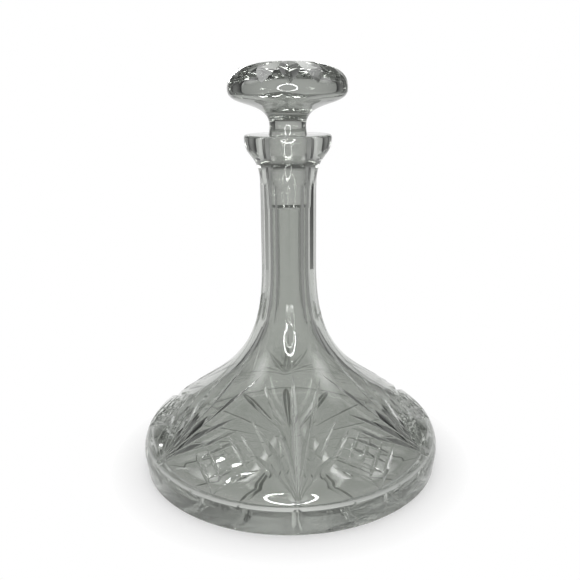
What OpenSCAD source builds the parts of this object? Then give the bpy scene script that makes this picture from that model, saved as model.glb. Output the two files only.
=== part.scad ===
// Cut-glass ships decanter with a loose stopper.
// Millimetres, +Z up. The origin is the centre of the underside, and the front fan faces -Y.

/* [Foot and shoulder] */
// Radius of the body at its widest
belly_radius = 93.3; // [80:0.1:110]
// Height of the widest point
belly_height = 12; // [8:0.5:18]
// How far the foot stands in from the widest point
foot_inset = 1.3; // [0.3:0.1:8]
// Bevel round the lower edge of the foot
foot_bevel = 1; // [0.5:0.1:2]
// Radius of the rounding from the foot wall into the slope
shoulder_round = 18.8; // [12:0.2:24]
// Angle of the slope above the horizontal
slope_angle = 35.4; // [28:0.2:42]
// Radius at which the slope begins to curve up into the neck
flare_radius = 55.8; // [48:0.2:66]

/* [Neck and lip] */
// Radius of the neck before its panels are cut
neck_radius = 16.6; // [14.5:0.1:20]
// Height at which the neck has become straight
neck_start = 129; // [110:1:150]
// How closely the flare hugs its corner, from 0 to 1
flare_hug = 0.79; // [0.6:0.01:0.9]
// Height of the rim
rim_height = 204; // [190:1:230]
// Height of the flared lip
lip_height = 29; // [22:0.5:36]
// Radius of the lip
lip_radius = 25.5; // [22:0.1:32]
// Rounding of the rim's outer edge
rim_round = 1.6; // [0.8:0.1:2.4]
// Share of the lip's height for which it keeps the neck's direction
lip_hold = 0.68; // [0.5:0.01:0.8]
// Share of the lip's height over which it turns upright again
lip_turn = 0.46; // [0.3:0.01:0.6]

/* [Inside] */
// Thickness of the base
base_thickness = 10; // [6:0.5:14]
// Thickness of the sloping wall
wall = 5.5; // [3.5:0.1:7]
// Thickness of the side wall at the widest point
side_wall = 7; // [4:0.1:9]
// Radius of the bore through the neck
bore_radius = 8.6; // [7:0.1:8.8]

/* [Stopper] */
// Length of the peg below the rim
peg_length = 42; // [30:1:50]
// Radius of the peg at the rim
peg_radius = 11.1; // [11:0.1:13]
// How much the peg's radius narrows over each millimetre of its length
peg_taper = 0.05; // [0.03:0.005:0.05]
// Bevel round the end of the peg
peg_bevel = 0.8; // [0.4:0.1:1.5]
// Gap between the peg and its socket
peg_clearance = 0.2; // [0.1:0.05:0.3]
// Radius of the waist below the head
waist_radius = 10.6; // [8:0.1:11]
// Height of the waist above the rim
waist_height = 4.8; // [3:0.1:9]
// Radius of the head
head_radius = 34.4; // [28:0.2:40]
// Height of the head's widest point above the rim
head_edge_height = 25; // [20:0.5:30]
// Share of the height below the head for which it keeps the waist's direction
head_hold = 0.72; // [0.5:0.01:0.8]
// Share of that height over which it turns upright at the head's edge
head_turn = 0.52; // [0.3:0.01:0.6]
// Height of the crown above the rim
crown_height = 40.2; // [36:0.2:48]
// Share of the crown's height for which its side stays upright
crown_side = 0.69; // [0.5:0.01:0.9]
// Share of the head's radius for which its top stays level
crown_top = 0.74; // [0.5:0.01:0.9]

/* [Cutting] */
// Angle between the two faces of a cut on the body
cut_angle = 112; // [90:1:130]
// Number of flat panels round the neck
panel_count = 12; // [8:1:16]
// How far the panels reach down from where the neck is straight
panel_tail = 39; // [30:1:44]
// Distance from the rim down to the panels' upper ends
panel_drop = 24; // [18:1:40]
// Length over which a panel runs out at each end
panel_run = 9; // [5:0.5:14]
// Depth to which the ridges between the panels are taken down
panel_bite = 0.1; // [0.05:0.05:0.5]
// Number of fans round the body
fan_count = 6; // [5:1:7]
// Distance from the widest point in to where a fan's rays meet
fan_inset = 1.2; // [0.8:0.1:6]
// Distance from there at which each ray begins
fan_gap = 0.5; // [0.2:0.1:4]
// Angle between a fan's rays, seen from above
fan_step = 15.3; // [12:0.1:17]
// Lengths of the rays seen from above, from the middle one outwards
fan_lengths = [70, 66, 51, 43]; // [30:1:72]
// Depth of a ray where it is deepest
ray_depth = 2.4; // [1.2:0.1:2.8]
// How much a ray leans to its root: 1 is deepest in the middle, more is deepest nearer to the root
ray_lean = 2.4; // [1:0.1:3]
// Distance from the widest point in to the lower corner of the hatched diamonds between the fans
diamond_low_inset = 1.2; // [0.8:0.1:3]
// Distance from the widest point in to a diamond's side corners
diamond_side_inset = 14.3; // [10:0.1:18]
// Distance from the widest point in to a diamond's upper corner
diamond_top_inset = 31; // [28:0.1:38]
// Angle from a diamond's middle to its side corners, seen from above
diamond_half_angle = 16; // [11:0.5:17]
// Number of cells along each side of a diamond
diamond_cells = 4; // [3:1:5]
// Depth of a line of the hatching at its middle
hatch_depth = 1.2; // [0.8:0.1:1.6]
// Angle between the two faces of a ray of the star under the base
star_angle = 90; // [80:1:120]
// Number of rays in the star
star_count = 16; // [8:1:16]
// Radius at which the star's rays begin
star_inner_radius = 14; // [10:0.5:24]
// Width of the plain ring between the star and the edge of the foot
star_margin = 5; // [3:1:20]
// Depth of the star's rays where they are deepest
star_depth = 2.6; // [0.8:0.1:3]
// How much they lean outwards: 1 is deepest in the middle, more is deepest nearer to the foot's edge
star_lean = 2; // [1:0.1:3]
// Number of notches round the stopper's crown
notch_count = 14; // [10:1:16]
// Angle between the two faces of a notch
notch_angle = 103; // [80:1:120]
// Radius at which a notch begins, near the middle of the crown
notch_inner_radius = 7; // [5:0.5:14]
// Height above the head's edge at which a notch ends
notch_end_rise = 3; // [2:0.5:6]

/* [Hidden] */

$fn = 120;
glass = [0.80, 0.84, 0.82, 0.55];
curve_steps = 12;
rim_steps = 5;
panel_sections = 20;
ray_sections = 8;
hatch_sections = 6;
star_sections = 6;
// How far a cutter stands clear of the glass, and how far the bottom of a leaf does at its tips
air = 0.9;
tip_lift = 0.2;
// How tall a notch's cutter is, which is more than any notch's depth
notch_cutter = 12;

function unit(v) = v / norm(v);
// The plan position at a radius and an angle from the front
function polar(r, angle) = [r * sin(angle), -r * cos(angle)];
// An outline with its radius and height exchanged, for looking a radius up by height
function by_height(side) = [for (p = side) [p[1], p[0]]];

// Points of an arc, from angle a to angle b
function arc(centre, radius, a, b, n = curve_steps) =
    [for (i = [0:n]) centre + radius * [cos(a + (b - a) * i / n), sin(a + (b - a) * i / n)]];

// Points of the cubic curve with corner points p, after its first point
function curve(p, n = curve_steps) =
    [for (i = [1:n]) let (t = i / n, u = 1 - t)
        u * u * u * p[0] + 3 * u * u * t * p[1] + 3 * u * t * t * p[2] + t * t * t * p[3]];

// A bend from a towards corner and on to b
function bend(a, corner, b, hug) = curve([a, a + hug * (corner - a), b + hug * (corner - b), b]);

// A sweep between two upright ends, each direction kept for a share of the height
function sweep(a, b, hold, turn) =
    let (h = b[1] - a[1]) curve([a, a + [0, hold * h], b - [0, turn * h], b]);

// The body's outline, [radius, height], from the foot up to the rim
foot_radius = belly_radius - foot_inset;
shoulder_centre = [belly_radius - shoulder_round, belly_height];
slope_start = shoulder_centre + shoulder_round * [sin(slope_angle), cos(slope_angle)];
function slope_point(r, drop = 0) = [r, slope_start[1] + (slope_start[0] - r) * tan(slope_angle) - drop];
neck_foot = [neck_radius, neck_start];
lip_foot = [neck_radius, rim_height - lip_height];
rim_shoulder = rim_height - rim_round;
body_side = concat(
    arc(shoulder_centre, shoulder_round, 0, 90 - slope_angle),
    [slope_point(flare_radius)],
    bend(slope_point(flare_radius), slope_point(neck_radius), neck_foot, flare_hug));
neck_side = concat([lip_foot], sweep(lip_foot, [lip_radius, rim_shoulder], lip_hold, lip_turn));
outer_side = concat(body_side, neck_side);
outer = concat(
    [[0, 0], [foot_radius - foot_bevel, 0], [foot_radius, foot_bevel]],
    outer_side,
    arc([lip_radius - rim_round, rim_shoulder], rim_round, 0, 90, rim_steps),
    [[0, rim_height]]);

// The hollow, from its floor up through the bore and the socket for the peg.
// The rounding at its heel touches the floor, the side wall and the slope.
wall_drop = wall / cos(slope_angle);
hollow_radius = belly_radius - side_wall;
heel_round = (slope_point(hollow_radius, wall_drop)[1] - base_thickness)
    / (1 + 1 / cos(slope_angle) - tan(slope_angle));
heel_centre = [hollow_radius - heel_round, base_thickness + heel_round];
hollow_flare = slope_point(flare_radius - wall, wall_drop);
socket_floor = rim_height - peg_length - peg_clearance;
socket_mouth = peg_radius + peg_clearance;
socket_end = socket_mouth - peg_taper * (rim_height - socket_floor);
hollow = concat(
    [[0, base_thickness]],
    arc(heel_centre, heel_round, -90, 90 - slope_angle),
    [hollow_flare],
    bend(hollow_flare, slope_point(bore_radius, wall_drop), [bore_radius, neck_start], flare_hug),
    [[bore_radius, socket_floor], [socket_end, socket_floor],
     [socket_mouth + peg_taper * air, rim_height + air], [0, rim_height + air]]);

// The stopper's outline, seated in the socket
peg_end = rim_height - peg_length;
peg_end_radius = peg_radius - peg_taper * peg_length;
peg_top = [peg_radius, rim_height];
waist = [waist_radius, rim_height + waist_height];
waist_corner = [waist_radius, rim_height + waist_height / 2];
head_edge = [head_radius, rim_height + head_edge_height];
crown = rim_height + crown_height;
crown_outline = curve([head_edge, head_edge + [0, crown_side * (crown - head_edge[1])],
    [crown_top * head_radius, crown], [0, crown]]);
stopper_outline = concat(
    [[0, peg_end], [peg_end_radius - peg_bevel, peg_end],
     [peg_end_radius + peg_taper * peg_bevel, peg_end + peg_bevel], peg_top],
    bend(peg_top, waist_corner, waist, 2 / 3),
    sweep(waist, head_edge, head_hold, head_turn),
    crown_outline);

// The point on the body's outside over a plan position, and the outward direction there
function body_height(r) = lookup(r, body_side);
function on_body(p) = [p.x, p.y, body_height(norm(p))];
function body_normal(p) =
    let (r = norm(p), d = 0.5, fall = (body_height(r - d) - body_height(r + d)) / (2 * d))
    unit([fall * p.x / r, fall * p.y / r, 1]);

// A leaf-shaped mitre cut along points on a surface, given the outward direction at each
module leaf(points, outward, depth, angle = cut_angle) {
    last = len(points) - 1;
    sections = [for (i = [0:last])
        let (along = points[min(i + 1, last)] - points[max(i - 1, 0)],
             side = unit(cross(outward[i], along)),
             sink = (depth + tip_lift) * 4 * i * (last - i) / (last * last) - tip_lift,
             half = (sink + air) * tan(angle / 2))
            [points[i] - sink * outward[i],
             points[i] + air * outward[i] + half * side,
             points[i] + air * outward[i] - half * side]];
    flanks = [for (i = [0:3:3 * last - 3]) each
        [[i, i + 3, i + 4], [i, i + 4, i + 1],
         [i, i + 5, i + 3], [i, i + 2, i + 5],
         [i + 1, i + 4, i + 5], [i + 1, i + 5, i + 2]]];
    ends = [[0, 1, 2], [3 * last, 3 * last + 2, 3 * last + 1]];
    polyhedron([for (s = sections) each s], concat(flanks, ends));
}

// One ray of a fan, from its root on the body, at an angle to the way inwards
module ray(angle, length) {
    root = polar(belly_radius - fan_inset, 0);
    way = -polar(1, -angle);
    path = [for (i = [0:ray_sections])
        root + (fan_gap + (length - fan_gap) * pow(i / ray_sections, ray_lean)) * way];
    leaf([for (p = path) on_body(p)], [for (p = path) body_normal(p)], ray_depth);
}

module fan() {
    outermost = len(fan_lengths) - 1;
    for (k = [-outermost:outermost])
        ray(k * fan_step, fan_lengths[abs(k)]);
}

// One line of a diamond's hatching, at share t of the way across, rising to the right for side 1
module hatch_line(side, t) {
    low = polar(belly_radius - diamond_low_inset, 0);
    top = polar(belly_radius - diamond_top_inset, 0);
    near = polar(belly_radius - diamond_side_inset, -side * diamond_half_angle);
    far = polar(belly_radius - diamond_side_inset, side * diamond_half_angle);
    start = low + t * (near - low);
    end = far + t * (top - far);
    path = [for (i = [0:hatch_sections]) start + (end - start) * i / hatch_sections];
    leaf([for (p = path) on_body(p)], [for (p = path) body_normal(p)], hatch_depth);
}

module diamond() {
    for (side = [-1, 1])
        for (i = [0:diamond_cells])
            hatch_line(side, i / diamond_cells);
}

module star_ray() {
    outer_end = foot_radius - star_margin;
    path = [for (i = [0:star_sections])
        [0, -outer_end + (outer_end - star_inner_radius) * pow(i / star_sections, star_lean), 0]];
    leaf(path, [for (p = path) [0, 0, -1]], star_depth, star_angle);
}

// One flat panel's cutter: its face follows the neck, and runs out of the glass at both ends
module panel() {
    low = neck_start - panel_tail;
    high = rim_height - panel_drop;
    levels = [for (i = [-2:panel_sections + 2]) low + (high - low) * i / panel_sections];
    face = [for (z = levels)
        let (run = max(0, 1 - (z - low) / panel_run, 1 - (high - z) / panel_run),
             radius = lookup(z, by_height(outer_side)),
             depth = radius * (1 - cos(180 / panel_count)) + panel_bite)
            [radius - depth * (1 - run * run), z]];
    back = 2 * belly_radius;
    rotate([90, 0, 90])
        translate([0, 0, -neck_radius])
            linear_extrude(2 * neck_radius)
                mirror([1, 0])
                    polygon(concat(face, [[back, levels[len(levels) - 1]], [back, levels[0]]]));
}

module decanter() {
    color(glass)
        difference() {
            rotate_extrude() polygon(outer);
            rotate_extrude() polygon(hollow);
            for (i = [0:panel_count - 1])
                rotate((i + 0.5) * 360 / panel_count) panel();
            for (i = [0:fan_count - 1])
                rotate(i * 360 / fan_count) fan();
            for (i = [0:fan_count - 1])
                rotate((i + 0.5) * 360 / fan_count) diamond();
            for (i = [0:star_count - 1])
                rotate(i * 360 / star_count) star_ray();
        }
}

// One straight V cut over the edge of the crown
module notch() {
    end_height = head_edge[1] + notch_end_rise;
    end_radius = lookup(end_height, by_height(crown_outline));
    rise = lookup(notch_inner_radius, crown_outline) - end_height;
    run = end_radius - notch_inner_radius;
    half = notch_cutter * tan(notch_angle / 2);
    translate([0, -end_radius, end_height])
        rotate([atan(rise / run) - 90, 0, 0])
            translate([0, 0, -notch_cutter])
                linear_extrude(norm([rise, run]) + 2 * notch_cutter)
                    polygon([[0, 0], [half, -notch_cutter], [-half, -notch_cutter]]);
}

module stopper() {
    color(glass)
        difference() {
            rotate_extrude() polygon(stopper_outline);
            for (i = [0:notch_count - 1])
                rotate(i * 360 / notch_count) notch();
        }
}

decanter();
stopper();
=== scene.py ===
import math

import bmesh
import bpy
import numpy as np
from mathutils import Matrix, Vector


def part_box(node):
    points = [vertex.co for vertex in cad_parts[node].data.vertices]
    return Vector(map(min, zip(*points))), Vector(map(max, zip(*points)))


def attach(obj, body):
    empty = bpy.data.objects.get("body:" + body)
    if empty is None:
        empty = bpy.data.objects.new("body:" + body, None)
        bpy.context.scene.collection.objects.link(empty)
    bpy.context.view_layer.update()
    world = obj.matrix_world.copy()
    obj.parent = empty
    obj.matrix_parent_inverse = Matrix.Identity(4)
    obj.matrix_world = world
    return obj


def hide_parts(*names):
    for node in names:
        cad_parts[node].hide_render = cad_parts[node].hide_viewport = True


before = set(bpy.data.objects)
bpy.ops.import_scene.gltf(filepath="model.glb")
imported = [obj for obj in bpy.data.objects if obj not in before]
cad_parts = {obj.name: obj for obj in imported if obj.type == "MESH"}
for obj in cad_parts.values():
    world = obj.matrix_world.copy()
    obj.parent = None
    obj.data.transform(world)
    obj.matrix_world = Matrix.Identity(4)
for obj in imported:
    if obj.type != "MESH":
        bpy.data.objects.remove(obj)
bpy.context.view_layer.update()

# Sizes of the glass, in millimetres. The outermost ones come from the parts' boxes in model.glb.
MM = 0.001
decanter_high = np.array(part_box("decanter")[1]) / MM
stopper_low, stopper_high = (np.array(corner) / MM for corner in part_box("stopper"))

BELLY_RADIUS = decanter_high[0]
BELLY_HEIGHT = 12.0
FOOT_RADIUS = 92.0
FOOT_BEVEL = 1.0
SHOULDER_ROUND = 18.8
SLOPE_ANGLE = math.radians(35.4)
FLARE_RADIUS = 55.8
FLARE_HUG = 0.79
NECK_RADIUS = 16.6
NECK_START = 129.0
RIM_HEIGHT = decanter_high[2]
RIM_ROUND = 1.6
LIP_HEIGHT = 29.0
LIP_RADIUS = 25.5
LIP_HOLD = 0.68
LIP_TURN = 0.46

BASE_THICKNESS = 10.0
WALL = 5.5
SIDE_WALL = 7.0
BORE_RADIUS = 8.6

PEG_END = stopper_low[2]
PEG_RADIUS = 11.1
PEG_TAPER = 0.05
PEG_BEVEL = 0.8
PEG_CLEARANCE = 0.2
WAIST_RADIUS = 10.6
WAIST_HEIGHT = 4.8
WAIST_HUG = 2 / 3
HEAD_RADIUS = stopper_high[0]
HEAD_EDGE_HEIGHT = 25.0
HEAD_HOLD = 0.72
HEAD_TURN = 0.52
CROWN = stopper_high[2]
CROWN_SIDE = 0.69
CROWN_TOP = 0.74

# The cutting
CUT_ANGLE = math.radians(112)
PANEL_COUNT = 12
PANEL_TAIL = 39.0
PANEL_DROP = 24.0
PANEL_RUN = 9.0
PANEL_BITE = 0.1
FAN_COUNT = 6
FAN_INSET = 1.2
FAN_GAP = 0.5
FAN_STEP = math.radians(15.3)
FAN_LENGTHS = (70.0, 66.0, 51.0, 43.0)
RAY_DEPTH = 2.4
RAY_LEAN = 2.4
DIAMOND_LOW_RADIUS = 92.1
DIAMOND_SIDE_RADIUS = 79.0
DIAMOND_TOP_RADIUS = 62.3
DIAMOND_HALF_ANGLE = math.radians(16)
DIAMOND_CELLS = 4
HATCH_DEPTH = 1.2
STAR_COUNT = 16
STAR_ANGLE = math.radians(90)
STAR_INNER_RADIUS = 14.0
STAR_MARGIN = 5.0
STAR_DEPTH = 2.6
STAR_LEAN = 2.0
NOTCH_COUNT = 14
NOTCH_ANGLE = math.radians(103)
NOTCH_INNER_RADIUS = 7.0
NOTCH_END_RISE = 3.0
# How far a leaf's cutter stands clear of the glass, and its bottom at its tips
AIR = 0.4
TIP_LIFT = 0.1
# Rounding at the bottom of a leaf, at most a share of its cutter's depth
VALLEY_ROUND = 1.0
VALLEY_SHARE = 0.4
# How far a panel's cutter runs past its ends
PANEL_OVERRUN = 4.0
# How far a notch's cutter runs past its ends, and how high it stands
NOTCH_REACH = 12.0

# Fineness of the meshes. The turn divides by every count of cuts, so that all repeats are alike.
TURN_STEPS = 336
CURVE_STEPS = 28
ARC_STEPS = 24
RIM_STEPS = 8
LINE_STEP = 4.0
RAY_SECTIONS = 24
HATCH_SECTIONS = 10
PANEL_ROWS = 60
VALLEY_STEPS = 6
# Half the distance that the body's slope is measured over
SLOPE_REACH = 0.4
# The angle between two faces from which their edge stays sharp
SHARP_EDGE = math.radians(14)


def arc(centre, radius, start, end, steps):
    """Points of an arc, with its first point. The other curves leave theirs out."""
    angles = np.linspace(start, end, steps + 1)
    return np.array(centre) + radius * np.stack([np.cos(angles), np.sin(angles)], 1)


def curve(corners):
    """Points of a cubic curve, after its first point."""
    t = np.linspace(0, 1, CURVE_STEPS + 1)[1:, None]
    p = np.array(corners, float)
    return (1 - t) ** 3 * p[0] + 3 * (1 - t) ** 2 * t * p[1] + 3 * (1 - t) * t**2 * p[2] + t**3 * p[3]


def bend(start, corner, end, hug):
    """A curve that leans into a corner: a hug of 0 is straight, and 1 leans in furthest."""
    start, corner, end = (np.array(p, float) for p in (start, corner, end))
    return curve([start, start + hug * (corner - start), end + hug * (corner - end), end])


def sweep(start, end, hold, turn):
    """An S-shaped curve, upright at both ends. Its handles there are shares hold and turn of its rise."""
    rise = end[1] - start[1]
    return curve([start, (start[0], start[1] + hold * rise), (end[0], end[1] - turn * rise), end])


def line(start, end):
    """Points of a straight line, after its first point."""
    start, end = np.array(start, float), np.array(end, float)
    count = max(1, round(np.linalg.norm(end - start) / LINE_STEP))
    return start + (end - start) * np.linspace(0, 1, count + 1)[1:, None]


# Outside of the decanter, [radius, height]
shoulder_centre = np.array([BELLY_RADIUS - SHOULDER_ROUND, BELLY_HEIGHT])
slope_start = shoulder_centre + SHOULDER_ROUND * np.array([math.sin(SLOPE_ANGLE), math.cos(SLOPE_ANGLE)])


def slope_point(radius, drop=0.0):
    """The point at a radius on the straight slope of the body, or a drop below it."""
    return np.array([radius, slope_start[1] + (slope_start[0] - radius) * math.tan(SLOPE_ANGLE) - drop])


lip_foot = (NECK_RADIUS, RIM_HEIGHT - LIP_HEIGHT)
rim_shoulder = RIM_HEIGHT - RIM_ROUND
body_side = np.vstack([
    arc(shoulder_centre, SHOULDER_ROUND, 0, math.pi / 2 - SLOPE_ANGLE, ARC_STEPS),
    line(slope_start, slope_point(FLARE_RADIUS)),
    bend(slope_point(FLARE_RADIUS), slope_point(NECK_RADIUS), (NECK_RADIUS, NECK_START), FLARE_HUG),
])
outer_side = np.vstack([
    body_side,
    line((NECK_RADIUS, NECK_START), lip_foot),
    sweep(lip_foot, (LIP_RADIUS, rim_shoulder), LIP_HOLD, LIP_TURN),
])

# Inside of the decanter, from the heel up to the mouth of the socket
wall_drop = WALL / math.cos(SLOPE_ANGLE)
hollow_radius = BELLY_RADIUS - SIDE_WALL
heel_round = (slope_point(hollow_radius, wall_drop)[1] - BASE_THICKNESS) / (
    1 + 1 / math.cos(SLOPE_ANGLE) - math.tan(SLOPE_ANGLE))
heel_centre = np.array([hollow_radius - heel_round, BASE_THICKNESS + heel_round])
hollow_flare = slope_point(FLARE_RADIUS - WALL, wall_drop)
socket_floor = PEG_END - PEG_CLEARANCE
socket_mouth = PEG_RADIUS + PEG_CLEARANCE
socket_end = socket_mouth - PEG_TAPER * (RIM_HEIGHT - socket_floor)
heel = arc(heel_centre, heel_round, -math.pi / 2, math.pi / 2 - SLOPE_ANGLE, ARC_STEPS)
hollow_side = np.vstack([
    heel,
    line(heel[-1], hollow_flare),
    bend(hollow_flare, slope_point(BORE_RADIUS, wall_drop), (BORE_RADIUS, NECK_START), FLARE_HUG),
    line((BORE_RADIUS, NECK_START), (BORE_RADIUS, socket_floor)),
    [(socket_end, socket_floor)],
    line((socket_end, socket_floor), (socket_mouth, RIM_HEIGHT)),
])
decanter_outline = np.vstack([
    [(0, 0)],
    line((0, 0), (FOOT_RADIUS - FOOT_BEVEL, 0)),
    [(FOOT_RADIUS, FOOT_BEVEL)],
    line((FOOT_RADIUS, FOOT_BEVEL), body_side[0]),
    outer_side[1:],
    arc((LIP_RADIUS - RIM_ROUND, rim_shoulder), RIM_ROUND, 0, math.pi / 2, RIM_STEPS)[1:],
    line((LIP_RADIUS - RIM_ROUND, RIM_HEIGHT), (socket_mouth, RIM_HEIGHT)),
    hollow_side[-2::-1],
    line(heel[0], (0, BASE_THICKNESS)),
])

# Outline of the stopper
peg_end_radius = PEG_RADIUS - PEG_TAPER * (RIM_HEIGHT - PEG_END)
peg_bevel_top = (peg_end_radius + PEG_TAPER * PEG_BEVEL, PEG_END + PEG_BEVEL)
peg_top = (PEG_RADIUS, RIM_HEIGHT)
waist = (WAIST_RADIUS, RIM_HEIGHT + WAIST_HEIGHT)
waist_corner = (WAIST_RADIUS, RIM_HEIGHT + WAIST_HEIGHT / 2)
head_edge = np.array([HEAD_RADIUS, RIM_HEIGHT + HEAD_EDGE_HEIGHT])
crown_side = curve([head_edge, head_edge + [0, CROWN_SIDE * (CROWN - head_edge[1])],
                    (CROWN_TOP * HEAD_RADIUS, CROWN), (0, CROWN)])
stopper_outline = np.vstack([
    [(0, PEG_END)],
    line((0, PEG_END), (peg_end_radius - PEG_BEVEL, PEG_END)),
    [peg_bevel_top],
    line(peg_bevel_top, peg_top),
    bend(peg_top, waist_corner, waist, WAIST_HUG),
    sweep(waist, head_edge, HEAD_HOLD, HEAD_TURN),
    crown_side,
])


def mesh_object(name, vertices, faces):
    """A new object from vertices in metres."""
    mesh = bpy.data.meshes.new(name)
    mesh.from_pydata([tuple(v) for v in vertices], [], faces)
    mesh.validate()
    obj = bpy.data.objects.new(name, mesh)
    bpy.context.scene.collection.objects.link(obj)
    return obj


def turned(name, outline):
    """A closed solid of revolution: the outline runs from the axis to the axis, anticlockwise."""
    ring = outline[1:-1]
    angles = (np.arange(TURN_STEPS) + 0.5) * 2 * math.pi / TURN_STEPS
    vertices = [(r * math.sin(a), -r * math.cos(a), z) for r, z in ring for a in angles]
    vertices += [(0, 0, outline[0][1]), (0, 0, outline[-1][1])]
    first, last = len(vertices) - 2, len(vertices) - 1
    top = (len(ring) - 1) * TURN_STEPS
    faces = []
    for k in range(TURN_STEPS):
        after = (k + 1) % TURN_STEPS
        faces.append((first, after, k))
        faces.append((last, top + k, top + after))
        for i in range(len(ring) - 1):
            low, high = i * TURN_STEPS, (i + 1) * TURN_STEPS
            faces.append((low + k, low + after, high + after, high + k))
    return mesh_object(name, np.array(vertices) * MM, faces)


def unit(v):
    return v / np.linalg.norm(v, axis=-1, keepdims=True)


def polar(radius, angle):
    """A plan position. Angle 0 is in front, at -Y."""
    return np.array([radius * math.sin(angle), -radius * math.cos(angle)])


def spun(points, angle):
    """Points turned round the axis."""
    c, s = math.cos(angle), math.sin(angle)
    return np.array(points) @ np.array([[c, s, 0], [-s, c, 0], [0, 0, 1]])


def tube_faces(rows, width):
    """Faces of a closed tube of rows, each of width points, with both ends."""
    last = (rows - 1) * width
    faces = [tuple(range(width)), tuple(reversed(range(last, last + width)))]
    for base in range(0, last, width):
        for k in range(width):
            after = (k + 1) % width
            faces.append((base + k, base + width + k, base + width + after, base + after))
    return faces


def body_height(radius):
    return np.interp(radius, body_side[::-1, 0], body_side[::-1, 1])


def on_body(plan):
    """Points on the body's outside over plan positions, and the outward directions there."""
    radius = np.linalg.norm(plan, axis=1)
    fall = (body_height(radius - SLOPE_REACH) - body_height(radius + SLOPE_REACH)) / (2 * SLOPE_REACH)
    normal = np.column_stack([plan * (fall / radius)[:, None], np.ones(len(plan))])
    return np.column_stack([plan, body_height(radius)]), unit(normal)


def leaf(points, outward, depth, angle=CUT_ANGLE):
    """Vertices and faces of a leaf-shaped mitre cut along points on a surface, with a rounded bottom."""
    t = np.arange(len(points)) / (len(points) - 1)
    side = unit(np.cross(outward, np.gradient(points, axis=0)))
    sink = ((depth + TIP_LIFT) * 4 * t * (1 - t) - TIP_LIFT)[:, None]
    half = (sink + AIR) * math.tan(angle / 2)
    left, right = (points + AIR * outward + sign * half * side for sign in (-1, 1))
    flank = (math.pi - angle) / 2
    round_size = np.minimum(VALLEY_ROUND, VALLEY_SHARE * (sink + AIR))
    centre = points + (round_size / math.sin(angle / 2) - sink) * outward
    valley = [centre + round_size * (math.sin(a) * side - math.cos(a) * outward)
              for a in np.linspace(-flank, flank, VALLEY_STEPS + 1)]
    rows = np.stack([left, *valley, right], 1)
    return rows.reshape(-1, 3), tube_faces(*rows.shape[:2])


def body_leaf(start, end, depth, sections, lean=1.0):
    """A cut between two plan positions on the body. A lean over 1 makes it deepest nearer to its start."""
    plan = start + (end - start) * np.linspace(0, 1, sections + 1)[:, None] ** lean
    return leaf(*on_body(plan), depth)


def ray_cut(k):
    """Ray k of the front fan, counted from its middle one."""
    root = polar(BELLY_RADIUS - FAN_INSET, 0)
    way = np.array([math.sin(k * FAN_STEP), math.cos(k * FAN_STEP)])
    start = root + FAN_GAP * way
    end = root + FAN_LENGTHS[abs(k)] * way
    return body_leaf(start, end, RAY_DEPTH, RAY_SECTIONS, RAY_LEAN)


def hatch_cut(side, t):
    """The cut of a diamond that leans to one side, at a share t of its width."""
    low, top = polar(DIAMOND_LOW_RADIUS, 0), polar(DIAMOND_TOP_RADIUS, 0)
    near = polar(DIAMOND_SIDE_RADIUS, side * DIAMOND_HALF_ANGLE)
    far = polar(DIAMOND_SIDE_RADIUS, -side * DIAMOND_HALF_ANGLE)
    return body_leaf(low + t * (near - low), far + t * (top - far), HATCH_DEPTH, HATCH_SECTIONS)


def star_cut():
    """A ray of the star under the foot."""
    outer = FOOT_RADIUS - STAR_MARGIN
    reach = outer - (outer - STAR_INNER_RADIUS) * np.linspace(0, 1, RAY_SECTIONS + 1) ** STAR_LEAN
    points = np.column_stack([np.zeros_like(reach), -reach, np.zeros_like(reach)])
    return leaf(points, np.tile([0.0, 0.0, -1.0], (len(points), 1)), STAR_DEPTH, STAR_ANGLE)


def panel_cut():
    """A block whose inner face follows the neck and leaves it at both ends."""
    low, high = NECK_START - PANEL_TAIL, RIM_HEIGHT - PANEL_DROP
    z = np.linspace(low - PANEL_OVERRUN, high + PANEL_OVERRUN, PANEL_ROWS)
    radius = np.interp(z, outer_side[:, 1], outer_side[:, 0])
    run = np.maximum(0, np.maximum(1 - (z - low) / PANEL_RUN, 1 - (high - z) / PANEL_RUN))
    depth = radius * (1 - math.cos(math.pi / PANEL_COUNT)) + PANEL_BITE
    face = radius - depth * (1 - run * run)
    half, back = NECK_RADIUS, 2 * NECK_RADIUS
    rows = [[(-half, -y, h), (half, -y, h), (half, -back, h), (-half, -back, h)] for y, h in zip(face, z)]
    return np.array(rows).reshape(-1, 3), tube_faces(len(rows), 4)


def notch_cut():
    """A straight V across the edge of the crown."""
    end_height = head_edge[1] + NOTCH_END_RISE
    end_radius = np.interp(end_height, crown_side[:, 1], crown_side[:, 0])
    start_height = np.interp(NOTCH_INNER_RADIUS, crown_side[::-1, 0], crown_side[::-1, 1])
    along = unit(np.array([0, end_radius - NOTCH_INNER_RADIUS, start_height - end_height]))
    up = NOTCH_REACH * np.array([0, -along[2], along[1]])
    half = NOTCH_REACH * math.tan(NOTCH_ANGLE / 2) * np.array([1.0, 0, 0])
    low = np.array([0, -end_radius, end_height]) - NOTCH_REACH * along
    length = (end_radius - NOTCH_INNER_RADIUS) / along[1] + 2 * NOTCH_REACH
    rows = [[p, p + up - half, p + up + half] for p in (low, low + length * along)]
    faces = [(0, 1, 2), (3, 5, 4), (0, 3, 4, 1), (0, 2, 5, 3), (1, 4, 5, 2)]
    return np.array(rows).reshape(-1, 3), faces


def around(cut, count, first=0.0):
    """Copies of a cut, evenly round the axis."""
    points, faces = cut
    return [(spun(points, first + 2 * math.pi * i / count), faces) for i in range(count)]


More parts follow.
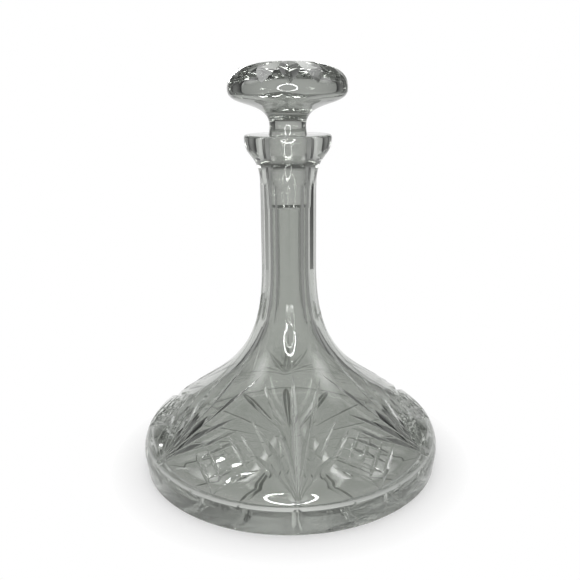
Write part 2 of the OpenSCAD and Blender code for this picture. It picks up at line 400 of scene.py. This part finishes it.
def cutter(name, cuts):
    """One mesh of several cuts that don't touch each other."""
    vertices, faces, base = [], [], 0
    for points, polygons in cuts:
        vertices.append(points)
        faces += [tuple(base + i for i in polygon) for polygon in polygons]
        base += len(points)
    obj = mesh_object(name, np.vstack(vertices) * MM, faces)
    bm = bmesh.new()
    bm.from_mesh(obj.data)
    bmesh.ops.recalc_face_normals(bm, faces=bm.faces)
    bm.to_mesh(obj.data)
    bm.free()
    return obj


def cutter_pair(name, cuts):
    """Two cutters with every second cut each, for cuts that touch their neighbours."""
    return [cutter(f"{name}_even", cuts[0::2]), cutter(f"{name}_odd", cuts[1::2])]


def carve(obj, cutters):
    """Takes the cutters out of a piece and deletes them."""
    for tool in cutters:
        modifier = obj.modifiers.new(tool.name, "BOOLEAN")
        modifier.operation = "DIFFERENCE"
        modifier.solver = "MANIFOLD"
        modifier.object = tool
    depsgraph = bpy.context.evaluated_depsgraph_get()
    carved = bpy.data.meshes.new_from_object(obj.evaluated_get(depsgraph))
    obj.modifiers.clear()
    obj.data = carved
    for tool in cutters:
        bpy.data.objects.remove(tool)


def shade(obj):
    """Smooth faces, with the cut edges kept sharp."""
    bm = bmesh.new()
    bm.from_mesh(obj.data)
    for face in bm.faces:
        face.smooth = True
    for edge in bm.edges:
        edge.smooth = len(edge.link_faces) == 2 and edge.calc_face_angle() < SHARP_EDGE
    bm.to_mesh(obj.data)
    bm.free()


def hatching(side):
    """The cuts that lean to one side in all the diamonds, which lie between the fans."""
    shares = [i / DIAMOND_CELLS for i in range(DIAMOND_CELLS + 1)]
    return [cut for t in shares for cut in around(hatch_cut(side, t), FAN_COUNT, math.pi / FAN_COUNT)]


def make_decanter():
    piece = turned("decanter_glass", decanter_outline)
    rays = range(1 - len(FAN_LENGTHS), len(FAN_LENGTHS))
    carve(piece, [
        *cutter_pair("panels", around(panel_cut(), PANEL_COUNT, math.pi / PANEL_COUNT)),
        *(cutter(f"rays_{k}", around(ray_cut(k), FAN_COUNT)) for k in rays),
        cutter("hatch_left", hatching(-1)),
        cutter("hatch_right", hatching(1)),
        cutter("star", around(star_cut(), STAR_COUNT)),
    ])
    shade(piece)
    return piece


def make_stopper():
    piece = turned("stopper_glass", stopper_outline)
    carve(piece, cutter_pair("notches", around(notch_cut(), NOTCH_COUNT)))
    shade(piece)
    return piece


decanter = make_decanter()
stopper = make_stopper()


def principled(name):
    """A new material and its shader."""
    material = bpy.data.materials.new(name)
    material.use_nodes = True
    return material, material.node_tree.nodes["Principled BSDF"]


def feed(tree, value, socket):
    """Gives a socket a number, or links it to another node's output."""
    if isinstance(value, (int, float)):
        socket.default_value = value
    else:
        tree.links.new(value, socket)


def ramp(tree, value, start, end, first, last):
    """First up to value start, last from value end on, and even between them."""
    node = tree.nodes.new("ShaderNodeMapRange")
    feed(tree, value, node.inputs["Value"])
    feed(tree, start, node.inputs["From Min"])
    feed(tree, end, node.inputs["From Max"])
    feed(tree, first, node.inputs["To Min"])
    feed(tree, last, node.inputs["To Max"])
    return node.outputs["Result"]


def maths(tree, operation, first, second):
    node = tree.nodes.new("ShaderNodeMath")
    node.operation = operation
    tree.links.new(first, node.inputs[0])
    tree.links.new(second, node.inputs[1])
    return node.outputs["Value"]


def vector(tree, operation, first, second=None):
    node = tree.nodes.new("ShaderNodeVectorMath")
    node.operation = operation
    tree.links.new(first, node.inputs[0])
    if second is not None:
        node.inputs[1].default_value = second
    return node.outputs


def noise(tree, place, size):
    """Soft noise with features of about a size."""
    node = tree.nodes.new("ShaderNodeTexNoise")
    node.inputs["Scale"].default_value = 1 / size
    node.inputs["Detail"].default_value = 1.0
    tree.links.new(place, node.inputs["Vector"])
    return node.outputs["Fac"]


# The glass
GLASS_IOR = 1.545
BODY_COLOUR = (0.50, 0.53, 0.49, 1)
BODY_DENSITY = 5.0
# Painted shade: the tints grey the clear glass to stand in for the dim surroundings seen through it. The
# stopper's darker tint is a more shaded copy of the same glass.
DECANTER_SHADE_TINT = (0.60, 0.615, 0.59, 1)
STOPPER_SHADE_TINT = (0.39, 0.404, 0.381, 1)
# Lighter glass on the faces of the peg's joint, so that the painted shade doesn't stack up where the peg
# sits in its socket
CLEAR = (0.83, 0.835, 0.825, 1)
# Waves that hand polishing leaves in the surface, in metres
WAVE_LENGTH = 0.009
WAVE_HEIGHT = 0.00002
# Fine scratches under the foot, where the decanter stands: how high they reach and their size, in metres,
# how rough they are, and the values of their noise where they begin and are full
WEAR_HEIGHT = 0.0004
SCRATCH_SIZE = 0.0012
WEAR_ROUGHNESS = 0.25
SCRATCH_FROM, SCRATCH_TO = 0.5, 0.6
# The mask of the faces where the peg sits in its socket, and its margin in millimetres
JOINT_MASK = "joint"
JOINT_MARGIN = 0.1


def mark_joint(obj):
    """Marks the faces of the peg or of its socket."""
    mask = obj.data.attributes.new(JOINT_MASK, "FLOAT", "FACE")
    for polygon in obj.data.polygons:
        x, y, z = polygon.center / MM
        in_height = socket_floor - JOINT_MARGIN < z < RIM_HEIGHT
        in_radius = math.hypot(x, y) < socket_mouth + JOINT_MARGIN
        mask.data[polygon.index].value = float(in_height and in_radius)


def glass(name, shade_tint):
    """Cut glass greyed by a tint of painted shade, with polishing waves and a worn foot, clear on the faces
    of the peg's joint.
    """
    material, shader = principled(name)
    tree = material.node_tree
    place = tree.nodes.new("ShaderNodeTexCoord").outputs["Object"]
    polish = tree.nodes.new("ShaderNodeBump")
    polish.inputs["Distance"].default_value = WAVE_HEIGHT
    tree.links.new(noise(tree, place, WAVE_LENGTH), polish.inputs["Height"])
    tree.links.new(polish.outputs["Normal"], shader.inputs["Normal"])
    height = vector(tree, "DOT_PRODUCT", place, (0, 0, 1))["Value"]
    underside = ramp(tree, height, WEAR_HEIGHT / 2, WEAR_HEIGHT, WEAR_ROUGHNESS, 0.0)
    scratches = ramp(tree, noise(tree, place, SCRATCH_SIZE), SCRATCH_FROM, SCRATCH_TO, 0.0, 1.0)
    tree.links.new(maths(tree, "MULTIPLY", underside, scratches), shader.inputs["Roughness"])
    joint = tree.nodes.new("ShaderNodeAttribute")
    joint.attribute_name = JOINT_MASK
    colour = tree.nodes.new("ShaderNodeMix")
    colour.data_type = "RGBA"
    # Painted shade: the grey tint, lighter on the faces of the joint
    colour.inputs["A"].default_value = shade_tint
    colour.inputs["B"].default_value = CLEAR
    tree.links.new(joint.outputs["Fac"], colour.inputs["Factor"])
    tree.links.new(colour.outputs["Result"], shader.inputs["Base Color"])
    shader.inputs["IOR"].default_value = GLASS_IOR
    shader.inputs["Transmission Weight"].default_value = 1.0
    body = tree.nodes.new("ShaderNodeVolumeAbsorption")
    body.inputs["Color"].default_value = BODY_COLOUR
    body.inputs["Density"].default_value = BODY_DENSITY
    tree.links.new(body.outputs["Volume"], tree.nodes["Material Output"].inputs["Volume"])
    return material


def dress(obj, material):
    obj.data.materials.clear()
    obj.data.materials.append(material)


mark_joint(decanter)
mark_joint(stopper)
# Both pieces get a tint of painted shade, darker on the stopper
dress(decanter, glass("decanter_cut_glass", DECANTER_SHADE_TINT))
dress(stopper, glass("stopper_cut_glass", STOPPER_SHADE_TINT))

for piece, node in ((decanter, "decanter"), (stopper, "stopper")):
    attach(piece, node)
    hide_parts(node)

# Stage, in metres: a pale paper floor, a white wall behind, and grey sides and ceiling
PAPER_COLOUR = (0.88, 0.88, 0.88, 1)
PAPER_ROUGHNESS = 0.9
PAPER_GREY, WALL_GREY, CEILING_GREY = 0.65, 0.42, 0.35
# The paper's grey turns into the wall's with distance, and the wall's into the ceiling's with height
PAPER_NEAR, PAPER_FAR = 0.25, 0.55
CEILING_FROM, CEILING_TO = 0.25, 0.75
# The white behind: cosines from its axis where it begins and is full, its axes, and its point on the paper
SIDE_FROM, SIDE_TO = 0.65, 0.985
PAPER_TURN = math.radians(3)
PAPER_AXIS = (-math.sin(PAPER_TURN), math.cos(PAPER_TURN), 0)
WALL_AXIS = (0, 1, 0)
WEDGE_POINT = (0, -0.13, 0)
# Distances between which the object's shadow fades to white
SHADOW_FROM, SHADOW_TO = 0.06, 0.115
FLOOR_RADIUS, FLOOR_DROP, FLOOR_STEPS = 4.0, 0.00005, 96


def behind(tree, direction, axis, grey):
    """White along the axis, which points behind the object, and a grey at the sides and in front."""
    along = vector(tree, "DOT_PRODUCT", direction, axis)["Value"]
    return ramp(tree, along, SIDE_FROM, SIDE_TO, grey, 1.0)


def paper():
    """White to the camera but for the object's shadow. Glass sees it white behind and grey at the sides."""
    material, shader = principled("stage_paper")
    shader.inputs["Base Color"].default_value = PAPER_COLOUR
    shader.inputs["Roughness"].default_value = PAPER_ROUGHNESS
    shader.inputs["Specular IOR Level"].default_value = 0.0
    tree = material.node_tree
    place = tree.nodes.new("ShaderNodeNewGeometry").outputs["Position"]
    way = tree.nodes.new("ShaderNodeLightPath").outputs
    distance = vector(tree, "LENGTH", place)["Value"]
    grey = ramp(tree, distance, PAPER_NEAR, PAPER_FAR, PAPER_GREY, WALL_GREY)
    ahead = vector(tree, "NORMALIZE", vector(tree, "SUBTRACT", place, WEDGE_POINT)["Vector"])["Vector"]
    white = tree.nodes.new("ShaderNodeEmission")
    strength = maths(tree, "MAXIMUM", way["Is Camera Ray"], behind(tree, ahead, PAPER_AXIS, grey))
    tree.links.new(strength, white.inputs["Strength"])
    unshaded = ramp(tree, distance, SHADOW_FROM, SHADOW_TO, 0.0, 1.0)
    seen = maths(tree, "MULTIPLY", way["Is Camera Ray"], unshaded)
    through = maths(tree, "ADD", way["Is Glossy Ray"], way["Is Transmission Ray"])
    blend = tree.nodes.new("ShaderNodeMixShader")
    tree.links.new(maths(tree, "MAXIMUM", seen, through), blend.inputs["Fac"])
    tree.links.new(shader.outputs["BSDF"], blend.inputs[1])
    tree.links.new(white.outputs["Emission"], blend.inputs[2])
    tree.links.new(blend.outputs["Shader"], tree.nodes["Material Output"].inputs["Surface"])
    return material


def make_floor():
    """A round of paper, just under the foot."""
    angles = [2 * math.pi * k / FLOOR_STEPS for k in range(FLOOR_STEPS)]
    rim = [(FLOOR_RADIUS * math.cos(a), FLOOR_RADIUS * math.sin(a), -FLOOR_DROP) for a in angles]
    floor = mesh_object("stage_floor", rim, [tuple(range(FLOOR_STEPS))])
    floor.data.materials.append(paper())


def make_world():
    """White to the camera. Glass sees it white behind, grey at the sides and darker overhead."""
    world = bpy.data.worlds.new("studio")
    bpy.context.scene.world = world
    world.use_nodes = True
    tree = world.node_tree
    direction = tree.nodes.new("ShaderNodeTexCoord").outputs["Generated"]
    walls = behind(tree, direction, WALL_AXIS, WALL_GREY)
    height = vector(tree, "DOT_PRODUCT", direction, (0, 0, 1))["Value"]
    ceiling = ramp(tree, height, CEILING_FROM, CEILING_TO, 1.0, CEILING_GREY)
    seen = tree.nodes.new("ShaderNodeLightPath").outputs["Is Camera Ray"]
    grey = maths(tree, "MAXIMUM", seen, maths(tree, "MULTIPLY", walls, ceiling))
    tree.links.new(grey, tree.nodes["Background"].inputs["Color"])


make_floor()
make_world()

# Camera, where the photograph was taken from
CAMERA_TURN = math.radians(-2.4)
CAMERA_DISTANCE = 0.4135
CAMERA_HEIGHT = 0.2300
CAMERA_PITCH = math.radians(16.155)
CAMERA_ROLL = -0.00843
CAMERA_AIM = -0.00116
CAMERA_NEAR = 0.01
FOCAL_PIXELS, FRAME_PIXELS, SENSOR = 700.0, 580.0, 36.0

camera = bpy.data.objects.new("camera", bpy.data.cameras.new("camera"))
camera.data.sensor_width = SENSOR
camera.data.lens = FOCAL_PIXELS / FRAME_PIXELS * SENSOR
camera.data.clip_start = CAMERA_NEAR
camera.matrix_world = (
    Matrix.Rotation(CAMERA_TURN, 4, "Z")
    @ Matrix.Translation((0, -CAMERA_DISTANCE, CAMERA_HEIGHT))
    @ Matrix.Rotation(CAMERA_AIM, 4, "Z")
    @ Matrix.Rotation(math.pi / 2 - CAMERA_PITCH, 4, "X")
    @ Matrix.Rotation(CAMERA_ROLL, 4, "Z"))
bpy.context.scene.collection.objects.link(camera)
bpy.context.scene.camera = camera

# Lights: a soft lamp overhead, and bright shapes that only the glass shows
OVERHEAD_PLACE, OVERHEAD_AIM = (0.0, 0.2, 1.6), (0, 0.1, 0)
OVERHEAD_SIZE, OVERHEAD_POWER = 1.4, 14
RING_RADIUS, RING_WIDTH, RING_STEPS = 0.128, 0.020, 96
RING_STRENGTH = 30.0
BLACK = (0, 0, 0, 1)
WHITE = (1, 1, 1, 1)
# Shares of a card's half size between which it dims to black
DIM_FROM, DIM_TO = 0.2, 1.0
# What the cards are turned to
NECK_MIDDLE = (0, 0, 0.12)
SHOULDER_MIDDLE = (0, 0, 0.04)
FOOT_MIDDLE = (0, 0, 0)
BEFORE_SHOULDER = (0, -0.20, 0.04)


def facing(place, aim):
    """The rotation of an object at place that looks at aim along its -Z."""
    return (Vector(place) - Vector(aim)).to_track_quat("Z", "Y").to_euler()


def overhead_lamp():
    """The light on the floor and the object, with no reflection of its own."""
    lamp = bpy.data.lights.new("overhead", "AREA")
    lamp.shape = "DISK"
    lamp.size = OVERHEAD_SIZE
    lamp.energy = OVERHEAD_POWER
    obj = bpy.data.objects.new("overhead", lamp)
    obj.location = OVERHEAD_PLACE
    obj.rotation_euler = facing(OVERHEAD_PLACE, OVERHEAD_AIM)
    obj.visible_glossy = False
    obj.visible_transmission = False
    bpy.context.scene.collection.objects.link(obj)


def glowing(name):
    """A black material that gives white light, and the socket of its strength."""
    material, shader = principled(name)
    shader.inputs["Base Color"].default_value = BLACK
    shader.inputs["Emission Color"].default_value = WHITE
    return material, shader.inputs["Emission Strength"]


def only_in_glass(obj, material):
    """Lets a bright shape of the stage show only in reflections and through the glass."""
    obj.data.materials.append(material)
    obj.visible_camera = False
    obj.visible_diffuse = False
    obj.visible_shadow = False


def ring_lamp():
    """A ring of light round the lens."""
    points = []
    for k in range(RING_STEPS):
        angle = 2 * math.pi * k / RING_STEPS
        for radius in (RING_RADIUS - RING_WIDTH / 2, RING_RADIUS + RING_WIDTH / 2):
            point = Vector((radius * math.cos(angle), radius * math.sin(angle), 0))
            points.append(camera.matrix_world @ point)
    count = len(points)
    faces = [(i, i + 1, (i + 3) % count, (i + 2) % count) for i in range(0, count, 2)]
    material, strength = glowing("ring_glow")
    strength.default_value = RING_STRENGTH
    only_in_glass(mesh_object("stage_ring_lamp", points, faces), material)


def card(name, place, aim, width, height, strength):
    """A panel that dims to black at its edges."""
    square = [(-1, -1, 0), (1, -1, 0), (1, 1, 0), (-1, 1, 0)]
    obj = mesh_object(name, square, [(0, 1, 2, 3)])
    obj.location = place
    obj.rotation_euler = facing(place, aim)
    obj.scale = (width / 2, height / 2, 1)
    material, glow = glowing(name)
    tree = material.node_tree
    on_card = tree.nodes.new("ShaderNodeTexCoord").outputs["Object"]
    from_middle = vector(tree, "LENGTH", on_card)["Value"]
    tree.links.new(ramp(tree, from_middle, DIM_FROM, DIM_TO, strength, 0.0), glow)
    only_in_glass(obj, material)


overhead_lamp()
ring_lamp()
card("stage_card_left", (-0.75, 0.05, 0.45), NECK_MIDDLE, width=0.06, height=0.60, strength=3.0)
card("stage_card_right", (0.70, -0.15, 0.50), NECK_MIDDLE, width=0.06, height=0.60, strength=2.0)
card("stage_strip_back", (0, 0.25, 0.80), SHOULDER_MIDDLE, width=1.00, height=0.12, strength=8.0)
for side, name in ((-1, "left"), (1, "right")):
    card(f"stage_card_high_{name}", (side * 0.62, -0.12, 0.60), SHOULDER_MIDDLE,
         width=0.50, height=0.50, strength=3.5)
    card(f"stage_strip_{name}", (side * 0.55, -0.20, 0.75), BEFORE_SHOULDER,
         width=0.05, height=1.20, strength=8.0)
    card(f"stage_spot_{name}", (side * 0.22, 0.08, 0.90), SHOULDER_MIDDLE,
         width=0.08, height=0.08, strength=60.0)
    card(f"stage_flag_{name}", (side * 0.30, 0.30, 0), FOOT_MIDDLE,
         width=0.15, height=0.80, strength=0.55)

bpy.context.scene.view_settings.view_transform = "Standard"
# Light in thick glass is turned back many times before it leaves
bpy.context.scene.cycles.max_bounces = 40
bpy.context.scene.cycles.glossy_bounces = 24
bpy.context.scene.cycles.transmission_bounces = 32


def corners(box):
    return [list(map(float, corner)) for corner in box]
